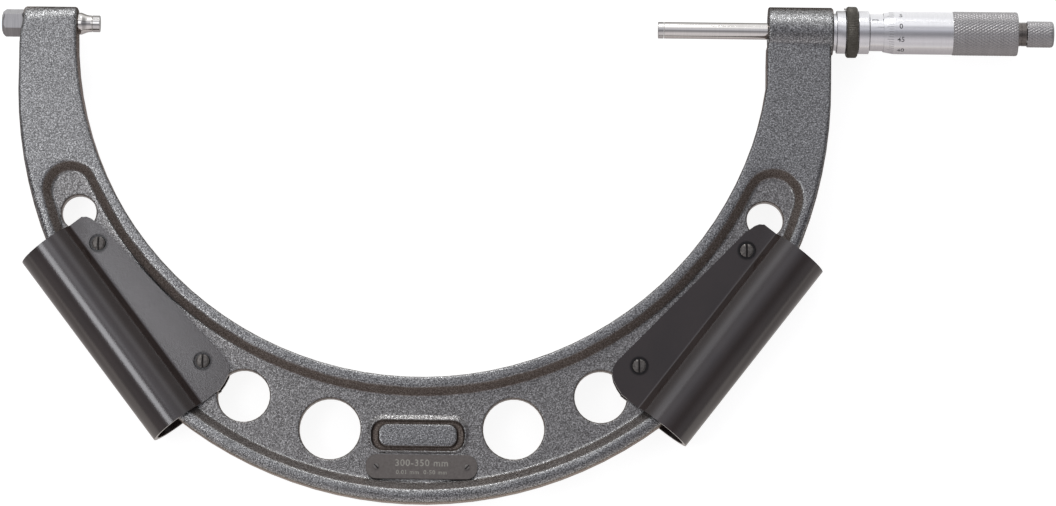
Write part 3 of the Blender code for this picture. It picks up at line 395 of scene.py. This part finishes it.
SLOT_FINISH = {
    "hammertone_grey": HAMMERTONE,
    "black_lacquer": LACQUER,
    "satin_chrome": SATIN,
    "ground_steel": STEEL,
    "carbide": CARBIDE,
    "black_oxide": BLACKED,
    "plate_grey": PLATE_GREY,
}
NODE_SLOT = {part["node"]: part["material_slot"] for part in frame["record"]["subparts"]}
BODIES = frame["record"]["behaviour"]["bodies"]
NODE_BODY = {name: body for body, names in BODIES.items() for name in names}


def paint_solids():
    """Every node gets its finish; nodes with flats or tubes are shown by an evenly shaded copy."""
    for name, solid in nodes.items():
        finish = SLOT_FINISH[NODE_SLOT[name]]
        if "grip_screw" in name:
            finish = SCREW_BLACK
        if "plate_pin" in name:
            finish = PIN_GREY
        if name == "anvil_cap_nut":
            finish = NUT_STEEL
        for slot in solid.material_slots:
            slot.material = finish
        if name in ("frame", "grip_left", "grip_right", "anvil_cap_nut", "guide_bush"):
            smooth_copy(name, finish)


# Pieces made of meshes


def piece(name, mesh, finish, body, sharp=30.0):
    """A visible piece in world metres that rides on a body."""
    mesh.name = name
    mesh.materials.append(finish)
    build = bmesh.new()
    build.from_mesh(mesh)
    bmesh.ops.remove_doubles(build, verts=build.verts, dist=1e-6)
    bmesh.ops.recalc_face_normals(build, faces=build.faces)
    build.to_mesh(mesh)
    build.free()
    for face in mesh.polygons:
        face.use_smooth = True
    mesh.set_sharp_from_angle(angle=math.radians(sharp))
    made = bpy.data.objects.new(name, mesh)
    bpy.context.scene.collection.objects.link(made)
    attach(made, body)
    return made


def stand_in(node):
    """The node is hidden, so that the piece is shown instead of it."""
    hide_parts(node)


def grid_mesh(rows, closed):
    """A skin through rings of points in millimetres; `closed` also joins the last ring to the first."""
    count = len(rows[0])
    points = [tuple(float(c) * MM for c in p) for row in rows for p in row]
    faces = []
    for k in range(len(rows) if closed else len(rows) - 1):
        low = k * count
        high = ((k + 1) % len(rows)) * count
        for i in range(count):
            j = (i + 1) % count
            faces.append((low + i, low + j, high + j, high + i))
    if not closed:
        faces.append(tuple(range(count))[::-1])
        faces.append(tuple(range(len(points) - count, len(points))))
    mesh = bpy.data.meshes.new("skin")
    mesh.from_pydata(points, [], faces)
    return mesh


def ring(station, radius, segments, ripple=None):
    """A ring of points about X; `ripple` gives the radius change at each turn."""
    turns = 2.0 * math.pi * np.arange(segments) / segments
    reach = np.full(segments, radius) if ripple is None else radius + ripple(turns)
    return np.stack([np.full(segments, station), reach * np.cos(turns), reach * np.sin(turns)], axis=1)


def held(profile):
    """The profile with points near both ends of each long line, so that only its edges are shaded round."""
    points = [profile[0]]
    for (x0, r0), (x1, r1) in zip(profile, profile[1:]):
        length = math.hypot(x1 - x0, r1 - r0)
        if length > 1.0:
            for share in (0.12 / length, 1.0 - 0.12 / length):
                points.append((x0 + (x1 - x0) * share, r0 + (r1 - r0) * share))
        points.append((x1, r1))
    return points


def lathe(node, profile, finish, segments=128, sharp=30.0, solid=True):
    """A turned stand-in for a node; a hollow one has a closed profile and no caps."""
    rows = [ring(station, radius, segments) for station, radius in held(profile)]
    made = piece(node + "_turned", grid_mesh(rows, not solid), finish, NODE_BODY[node], sharp)
    stand_in(node)
    return made


def extent(node):
    """Start and end along X and the outer radius of a node turned about the axis."""
    low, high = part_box(node)
    return low.x / MM, high.x / MM, min(high.y, high.z) / MM


def tooth(place):
    """Triangle wave between 0 and 1 with period 1."""
    return np.abs(2.0 * (place - np.floor(place)) - 1.0)


def diamonds(count, lead, depth):
    """Radius change of a diamond knurl at a station: two sets of crossed grooves."""
    def at(station):
        def ripple(turns):
            around = turns / (2.0 * math.pi) * count
            first = tooth(around + station / lead)
            second = tooth(around - station / lead)
            return -depth * np.maximum(1.0 - first, 1.0 - second) ** 1.4
        return ripple
    return at


def smooth_copy(node, finish):
    """The node's own shape with evenly shaded flats, rounded edges and tubes."""
    source = nodes[node].data
    mesh = bpy.data.meshes.new(node + "_shaded")
    points = [tuple(vertex.co) for vertex in source.vertices]
    mesh.from_pydata(points, [], [tuple(face.vertices) for face in source.polygons])
    made = piece(node + "_shaded", mesh, finish, NODE_BODY[node], 42.0)
    even = made.modifiers.new("even", "WEIGHTED_NORMAL")
    even.keep_sharp = True
    even.weight = 80
    stand_in(node)


# The head and the scales

FRONT_TURN = math.radians(90.0)
SCALE_TURN = FRONT_TURN - math.radians(7.6)  # the sleeve's datum line, turned towards +Y
SLEEVE_RADIUS = 10.0
SLEEVE_BORE = 8.6
SLEEVE_PLAY = 0.3
PLAIN_RADIUS = 11.45
BEVEL_START_RADIUS = 10.5
BEVEL_LENGTH = 5.4
BEVEL_RISE = 0.9
PLAIN_END = 37.1
SCREW_RADIUS = 4.0
LETTER_LIFT = 0.012
LETTER_SINK = 0.03
WORD_LIFT = 0.015


def on_axis(station, radius, turn):
    return (station, radius * math.cos(turn), radius * math.sin(turn))


def make_thimble():
    """Bevelled edge, plain barrel, diamond knurl, and the wider bore over the sleeve."""
    start, end, knurl_radius = extent("thimble")
    bevel_end = start + BEVEL_LENGTH
    knurl_start = start + PLAIN_END
    inner = SLEEVE_RADIUS + SLEEVE_PLAY
    wall = 8.3
    bore = 4.3
    segments = 384
    rows = [ring(start, inner, segments), ring(start, BEVEL_START_RADIUS, segments)]
    for share in (0.03, 0.5, 0.95):
        rows.append(ring(start + share * BEVEL_LENGTH, BEVEL_START_RADIUS + share * BEVEL_RISE, segments))
    for reach, drop in ((0.1, 0.02), (0.5, 0.0), (0.8, 0.0), (16.0, 0.0)):
        rows.append(ring(bevel_end + reach, PLAIN_RADIUS - drop, segments))
    rows += [ring(knurl_start - 0.2, PLAIN_RADIUS, segments), ring(knurl_start, PLAIN_RADIUS, segments)]
    knurl = diamonds(46, 2.9, 0.30)
    crest = knurl_radius - 0.02
    first, last = knurl_start + 0.35, end - 0.55
    for station in np.linspace(first, last, 132):
        rows.append(ring(station, crest, segments, knurl(station)))
    rows.append(ring(last + 0.1, crest - 0.12, segments))
    rows.append(ring(end, crest - 0.5, segments))
    rows += [ring(end, bore, segments), ring(end - wall, bore, segments), ring(end - wall, inner, segments)]
    made = piece("thimble_turned", grid_mesh(rows, True), SATIN, "thimble_body", 24.0)
    made.data.materials.append(KNURLED)
    edge = (knurl_start + 0.1) * MM
    for face in made.data.polygons:
        if face.center.x > edge and face.center.yz.length > (crest - 1.2) * MM:
            face.material_index = 1
    stand_in("thimble")


def make_knob():
    """Diamond knurl, rounded end, the screw's recess and bore, the spring's and the neck's room."""
    start, end, radius = extent("ratchet_knob")
    segments = 240
    rounding = 1.5
    crest = radius - 0.02
    knurl = diamonds(28, 2.9, 0.26)
    rows = [ring(start, 5.6, segments), ring(start, crest - 0.35, segments)]
    for station in np.linspace(start + 0.3, end - 1.9, 46):
        rows.append(ring(station, crest, segments, knurl(station)))
    for step in range(1, 7):
        turn = math.radians(15.0 * step)
        station = end - rounding * (1.0 - math.sin(turn))
        rows.append(ring(station, crest - 0.1 - rounding * (1.0 - math.cos(turn)), segments))
    recess, screw_bore, shaft_bore, neck_bore = 2.9, 1.3, 3.3, 5.6
    for depth, outer, inner in ((0.0, recess, recess), (2.05, recess, screw_bore),
                                (3.75, screw_bore, shaft_bore), (6.35, shaft_bore, neck_bore)):
        rows.append(ring(end - depth, outer, segments))
        if inner != outer:
            rows.append(ring(end - depth, inner, segments))
    made = piece("ratchet_knob_turned", grid_mesh(rows, True), KNURLED, "knob_body", 24.0)
    stand_in("ratchet_knob")


def make_lock_ring():
    """Straight knurl between two chamfers."""
    start, end, radius = extent("lock_ring")
    teeth = 90
    segments = teeth * 4

    def ripple(turns):
        return -0.22 * tooth(turns / (2.0 * math.pi) * teeth)

    rows = [ring(start, 9.8, segments), ring(start, radius - 0.95, segments)]
    for station, drop in ((0.45, 0.4), (0.95, 0.05)):
        rows.append(ring(start + station, radius - drop, segments, ripple))
    for station, drop in ((0.95, 0.05), (0.45, 0.4)):
        rows.append(ring(end - station, radius - drop, segments, ripple))
    rows += [ring(end, radius - 0.95, segments), ring(end, 9.8, segments)]
    made = piece("lock_ring_turned", grid_mesh(rows, True), BLACKED, "lock_body", 40.0)
    stand_in("lock_ring")


def make_sleeves():
    start, end, radius = extent("sleeve_collar")
    lathe("sleeve_collar", [
        (start, 9.8), (start, radius - 0.35), (start + 0.1, radius - 0.12), (start + 0.35, radius),
        (end - 0.35, radius), (end - 0.1, radius - 0.12), (end, radius - 0.35), (end, 9.8),
    ], SATIN, solid=False)
    start, end, radius = extent("scale_sleeve")
    lathe("scale_sleeve", [
        (start, SLEEVE_BORE), (start, radius - 0.15), (start + 0.15, radius),
        (end, radius), (end, SLEEVE_BORE),
    ], SATIN, solid=False)


def make_spindle():
    """Ground rod in front and, behind it, the screw that ends in the thimble."""
    start, end, radius = extent("spindle_tip")
    lathe("spindle_tip", [
        (start, radius - 0.2), (start + 0.2, radius), (end - 0.1, radius), (end, radius - 0.1),
    ], CARBIDE, 96)
    start, end, radius = extent("spindle")
    rod_end = start + 104.7
    lathe("spindle", [
        (start, radius - 0.1), (start + 0.1, radius), (rod_end, radius), (rod_end + 0.5, SCREW_RADIUS),
        (end, SCREW_RADIUS), (end, 2.3), (end - 9.0, 2.3),
    ], STEEL, 96)


def make_anvil():
    """Shank, seat against the arm, and the flare that narrows to the tip."""
    start, end, radius = extent("anvil_tip")
    lathe("anvil_tip", [
        (start, radius - 0.2), (start + 0.2, radius), (end - 0.2, radius), (end, radius - 0.2),
    ], CARBIDE, 96)
    start, end, _ = extent("anvil")
    shank, seat_radius, tip_radius = 4.0, 5.9, 4.45
    seat = end - 7.1
    flare = [(seat, shank), (seat, seat_radius), (seat + 1.5, seat_radius)]
    for share in (0.15, 0.3, 0.45, 0.6, 0.75, 0.9, 1.0):
        ease = share * (2.0 - share) if share > 0.5 else 1.5 * share
        flare.append((seat + 1.5 + share * 5.4, seat_radius - ease * (seat_radius - tip_radius)))
    lathe("anvil", [(start, shank - 0.4), (start + 0.4, shank)] + flare + [(end, tip_radius)], STEEL, 96)


def make_neck():
    """The ratchet stop's stub, its grooved neck and the shaft for the knob."""
    start, end, _ = extent("ratchet_body")
    neck = extent("ratchet_knob")[0] - 4.9
    stub = extent("spindle")[1] + 0.4
    lathe("ratchet_body", [
        (start, 2.0), (stub, 2.0), (stub, SCREW_RADIUS), (neck, SCREW_RADIUS),
        (neck, 6.2), (neck + 0.2, 6.4), (neck + 1.5, 6.4), (neck + 1.6, 6.2),
        (neck + 1.9, 6.2), (neck + 2.0, 6.4), (neck + 4.4, 6.4), (neck + 4.6, 6.2),
        (neck + 4.6, 3.0), (end, 3.0), (end, 1.2), (end - 5.3, 1.2),
    ], NECK_BLACK, 96)


def strip(first, last, width):
    """A thin closed ribbon on a round surface between two (station, radius, turn) ends."""
    x0, r0, t0 = first
    x1, r1, t1 = last
    points = []
    for height in (-LETTER_SINK, LETTER_LIFT):
        for x, r, t in ((x0, r0, t0), (x1, r1, t1)):
            for side in (-0.5, 0.5):
                if x0 == x1:
                    points.append(on_axis(x + side * width, r + height, t))
                else:
                    points.append(on_axis(x, r + height, t + side * width / r))
    faces = [(0, 1, 3, 2), (4, 6, 7, 5), (0, 4, 5, 1), (2, 3, 7, 6), (0, 2, 6, 4), (1, 5, 7, 3)]
    return points, faces


def text_outline(words, height, spacing=1.0):
    """Flat mesh of a word, its size in millimetres, centred on its own middle."""
    curve = bpy.data.curves.new("letters", "FONT")
    curve.body = words
    curve.size = height / 0.7
    curve.align_x = "CENTER"
    curve.align_y = "CENTER"
    curve.resolution_u = 3
    curve.space_character = spacing
    curve.offset = 0.02 * height
    holder = bpy.data.objects.new("letters", curve)
    bpy.context.scene.collection.objects.link(holder)
    bpy.context.view_layer.update()
    graph = bpy.context.evaluated_depsgraph_get()
    mesh = bpy.data.meshes.new_from_object(holder.evaluated_get(graph))
    bpy.data.objects.remove(holder, do_unlink=True)
    bpy.data.curves.remove(curve)
    return mesh


def combine(name, parts, finish, body):
    """One object from several point and face lists in millimetres."""
    points, faces = [], []
    for more, sides in parts:
        base = len(points)
        points += [tuple(float(c) * MM for c in p) for p in more]
        faces += [tuple(base + i for i in side) for side in sides]
    mesh = bpy.data.meshes.new(name)
    mesh.from_pydata(points, [], faces)
    return piece(name, mesh, finish, body)


def thick_letters(mesh, place):
    """Points and faces of a flat word given a front and a back by `place(x, y, layer)`."""
    build = bmesh.new()
    build.from_mesh(mesh)
    bmesh.ops.triangulate(build, faces=build.faces)
    verts = [tuple(v.co) for v in build.verts]
    front = [tuple(v.index for v in f.verts) for f in build.faces]
    rims = [tuple(v.index for v in e.verts) for e in build.edges if e.is_boundary]
    build.free()
    count = len(verts)
    points = [place(x, y, 1) for x, y, _ in verts] + [place(x, y, 0) for x, y, _ in verts]
    faces = front + [tuple(count + i for i in reversed(f)) for f in front]
    faces += [(a, b, count + b, count + a) for a, b in rims]
    return points, faces


def number_on_barrel(words, height, station, turn, radius):
    """A number whose baseline runs along X, wrapped on a round surface."""
    def place(x, y, layer):
        return on_axis(station + x, radius + (LETTER_LIFT if layer else -LETTER_SINK), turn - y / radius)
    return thick_letters(text_outline(words, height), place)


def make_scales():
    """50 lines on the thimble's bevel, and lines every 0.5 mm on both sides of the sleeve's datum line."""
    zero = extent("thimble")[0]
    slope = BEVEL_RISE / BEVEL_LENGTH
    parts = []
    for k in range(50):
        turn = SCALE_TURN - 2.0 * math.pi * k / 50.0
        near, far = (1.6 if k % 5 == 0 else 2.7, 5.3)
        ends = [(zero + reach, BEVEL_START_RADIUS + slope * reach, turn) for reach in (near, far)]
        parts.append(strip(*ends, 0.16))
        if k % 5 == 0:
            parts.append(number_on_barrel(str(k), 2.8, zero + 9.0, turn, PLAIN_RADIUS))
    combine("thimble_scale", parts, SCALE_INK, "thimble_body")
    datum = [(zero + reach, SLEEVE_RADIUS, SCALE_TURN) for reach in (-3.6, 51.5)]
    parts = [strip(*datum, 0.14)]
    for k in range(101):
        station = zero - 0.05 + 0.5 * k
        length = 2.9 if k % 10 == 0 else 2.0
        side = 1.0 if k % 2 == 0 else -1.0
        far = SCALE_TURN - side * length / SLEEVE_RADIUS
        parts.append(strip((station, SLEEVE_RADIUS, SCALE_TURN), (station, SLEEVE_RADIUS, far), 0.12))
        if k % 10 == 0:
            turn = SCALE_TURN - 4.2 / SLEEVE_RADIUS
            parts.append(number_on_barrel(str(k // 2), 1.7, station, turn, SLEEVE_RADIUS))
    combine("sleeve_scale", parts, SCALE_INK, "frame_body")
    label = [number_on_barrel("mm", 1.6, zero - 4.6, FRONT_TURN - math.radians(33.0), SLEEVE_RADIUS)]
    combine("sleeve_label", label, SCALE_INK, "frame_body")


def make_plate_words():
    """Range and graduation, raised a little from the plate."""
    low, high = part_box("rating_plate")
    middle = ((low.x + high.x) / 2 / MM, (low.y + high.y) / 2 / MM)
    top = high.z / MM
    parts = []
    for words, height, x, y in (("300-350 mm", 3.5, 0.0, 1.9), ("0.01 mm  0-50 mm", 2.2, 0.0, -3.0)):
        def place(px, py, layer, x=x, y=y):
            return (middle[0] + x + px, middle[1] + y + py, top + (WORD_LIFT if layer else -LETTER_SINK))
        parts.append(thick_letters(text_outline(words, height, 1.12), place))
    combine("plate_words", parts, PLATE_LETTER, "frame_body")


# Camera, floor and light

CAMERA_PLACE = Vector((231.438, -447.969, 2478.612)) * MM
TILT = math.radians(7.5)
ROLL = math.radians(0.65)
LENS = 159.45
FLOOR_REACH = 2500.0
FLOOR_GAP = 0.2
BANDS_FRONT = -300.0
BANDS_BACK = 100.0
HEAD_START = 392.0
NUT_END = -34.0
SHEETS_LEFT = 0.08  # how far the middle of the sheets lies to the left, as a part of the view direction


def make_camera():
    toward = Vector((0.0, math.sin(TILT), -math.cos(TILT)))
    level = Vector((0.0, math.cos(TILT), math.sin(TILT)))
    right = math.cos(ROLL) * Vector((1.0, 0.0, 0.0)) + math.sin(ROLL) * level
    up = -math.sin(ROLL) * Vector((1.0, 0.0, 0.0)) + math.cos(ROLL) * level
    data = bpy.data.cameras.new("camera")
    data.lens = LENS
    data.sensor_width = 36.0
    data.clip_start = 0.1
    data.clip_end = 20.0
    made = bpy.data.objects.new("camera", data)
    turn = Matrix((right, up, -toward)).transposed()
    made.matrix_world = Matrix.Translation(CAMERA_PLACE) @ turn.to_4x4()
    bpy.context.scene.collection.objects.link(made)
    bpy.context.scene.camera = made


def floor_paper():
    """Pale paper with soft shadows for the camera; for what mirrors the paper it glows in bands across Y,
    painted light with painted shadow near the instrument.
    """
    made = bpy.data.materials.new("floor_paper")
    made.use_nodes = True
    made.node_tree.nodes.clear()
    add = node_adder(made.node_tree)
    split = add("SeparateXYZ", {"Vector": add("TexCoord").outputs["Object"]})
    along = fade(add, split.outputs["Y"], BANDS_FRONT * MM, BANDS_BACK * MM)
    # painted light that dims to painted shadow towards the instrument's front, y about -36 to -12 mm
    front = (
        (0.12, (0.95, 0.89, 0.84)),
        (0.24, (0.58, 0.54, 0.52)),
        (0.5, (0.66, 0.62, 0.61)),
        (0.66, (0.56, 0.52, 0.52)),
        (0.72, (0.46, 0.43, 0.43)),
    )
    # painted shadow: a dark band behind the frame, y about 4 to 44 mm, then brighter
    between = ramp(add, along, front + (
        (0.76, (0.34, 0.33, 0.32)),
        (0.86, (0.34, 0.33, 0.32)),
        (0.96, (0.9, 0.9, 0.9)),
    ))
    # beside the head and the nut there is no shadow band: painted light, brighter than white, behind them
    beyond = ramp(add, along, front + (
        (0.82, (1.2, 1.2, 1.2)),
    ))
    head = fade(add, split.outputs["X"], HEAD_START * MM, (HEAD_START + 25.0) * MM)
    nut = fade(add, split.outputs["X"], NUT_END * MM, (NUT_END - 6.0) * MM)
    ends = reckon(add, "MAXIMUM", head, nut)
    bands = add("MixRGB", {"Fac": ends, "Color1": between, "Color2": beyond})
    # the floor glows as painted light for every ray but the camera's
    painted_floor_glow = add("Emission", {"Color": bands.outputs["Color"]})
    paper = add("BsdfDiffuse", Color=(0.28, 0.28, 0.28, 1.0))
    glow = add("Emission", Strength=0.88)
    seen = add("AddShader", {0: paper.outputs["BSDF"], 1: glow.outputs["Emission"]})
    camera_ray = add("LightPath").outputs["Is Camera Ray"]
    mix = add("MixShader", {"Fac": camera_ray, 1: painted_floor_glow.outputs["Emission"], 2: seen.outputs["Shader"]})
    add("OutputMaterial", {"Surface": mix.outputs["Shader"]})
    return made


def make_floor():
    reach = FLOOR_REACH * MM
    height = cad_low.z - FLOOR_GAP * MM
    x = (cad_low.x + cad_high.x) / 2
    y = (cad_low.y + cad_high.y) / 2
    corners = [(x - reach, y - reach, height), (x + reach, y - reach, height),
               (x + reach, y + reach, height), (x - reach, y + reach, height)]
    mesh = bpy.data.meshes.new("floor")
    mesh.from_pydata(corners, [], [(0, 1, 2, 3)])
    mesh.materials.append(floor_paper())
    floor = bpy.data.objects.new("floor", mesh)
    bpy.context.scene.collection.objects.link(floor)


def soft_light(name, place, aim, width, depth, radiance, shape="RECTANGLE"):
    """A lamp with an even face; place, aim and sizes in millimetres."""
    data = bpy.data.lights.new(name, "AREA")
    data.shape = shape
    data.size = width * MM
    data.size_y = depth * MM
    face = width * depth * MM * MM * (math.pi / 4.0 if shape == "ELLIPSE" else 1.0)
    data.energy = radiance * math.pi * face
    made = bpy.data.objects.new(name, data)
    made.location = Vector(place) * MM
    made.rotation_euler = (Vector(aim) - Vector(place)).to_track_quat("-Z", "Y").to_euler()
    bpy.context.scene.collection.objects.link(made)


def make_lights():
    soft_light("lamp_left", (-440.0, -330.0, 920.0), (20.0, -150.0, 0.0), 360.0, 360.0, 5.2, "ELLIPSE")
    soft_light("panel_left", (-230.0, 60.0, 900.0), (-230.0, 60.0, 0.0), 420.0, 420.0, 1.0)
    soft_light("lamp_back", (140.0, 1180.0, 645.0), (180.0, -60.0, 0.0), 460.0, 300.0, 9.0)


def make_world():
    """Studio: a bright sheet behind the instrument, a grey ceiling, a softer sheet in front."""
    world = bpy.data.worlds.new("studio")
    world.use_nodes = True
    world.node_tree.nodes.clear()
    add = node_adder(world.node_tree)
    split = add("SeparateXYZ", {"Vector": add("TexCoord").outputs["Generated"]})
    turn = reckon(add, "ARCTAN2", split.outputs["Z"], split.outputs["Y"])
    sheets = ramp(add, reckon(add, "DIVIDE", turn, math.pi), (
        (0.0, (1.15, 1.15, 1.16)),
        (0.12, (1.14, 1.14, 1.15)),
        (0.21, (1.08, 1.08, 1.09)),
        (0.305, (1.40, 1.40, 1.42)),
        (0.335, (1.10, 1.10, 1.13)),
        (0.365, (0.62, 0.62, 0.65)),
        (0.395, (0.62, 0.62, 0.65)),
        (0.425, (0.84, 0.84, 0.89)),
        (0.46, (0.76, 0.76, 0.81)),
        (0.50, (0.46, 0.46, 0.50)),
        (0.565, (0.32, 0.315, 0.335)),
        (0.61, (0.30, 0.295, 0.31)),
        (0.65, (0.44, 0.43, 0.45)),
        (0.74, (0.74, 0.71, 0.73)),
        (0.82, (0.86, 0.82, 0.84)),
        (0.88, (0.70, 0.67, 0.68)),
        (0.93, (0.78, 0.75, 0.76)),
        (1.0, (0.90, 0.86, 0.86)),
    ))
    sideways = reckon(add, "ABSOLUTE", reckon(add, "ADD", split.outputs["X"], SHEETS_LEFT))
    beside = fade(add, sideways, 0.40, 0.68, 0.0, 0.72, "SMOOTHSTEP")
    share = fade(add, split.outputs["Y"], -0.1, 0.3, 0.6, 1.0, "SMOOTHSTEP")
    strength = reckon(add, "SUBTRACT", 1.0, reckon(add, "MULTIPLY", beside, share))
    light = add("Background", {"Color": sheets, "Strength": strength})
    white = add("Background", Color=(1.0, 1.0, 1.0, 1.0))
    camera_ray = add("LightPath").outputs["Is Camera Ray"]
    sheets_seen = light.outputs["Background"]
    mix = add("MixShader", {"Fac": camera_ray, 1: sheets_seen, 2: white.outputs["Background"]})
    add("OutputWorld", {"Surface": mix.outputs["Shader"]})
    bpy.context.scene.world = world


paint_solids()
make_thimble()
make_knob()
make_lock_ring()
make_sleeves()
make_spindle()
make_anvil()
make_neck()
make_scales()
make_plate_words()
make_camera()
make_floor()
make_lights()
make_world()

scene = bpy.context.scene
scene.view_settings.view_transform = "Standard"
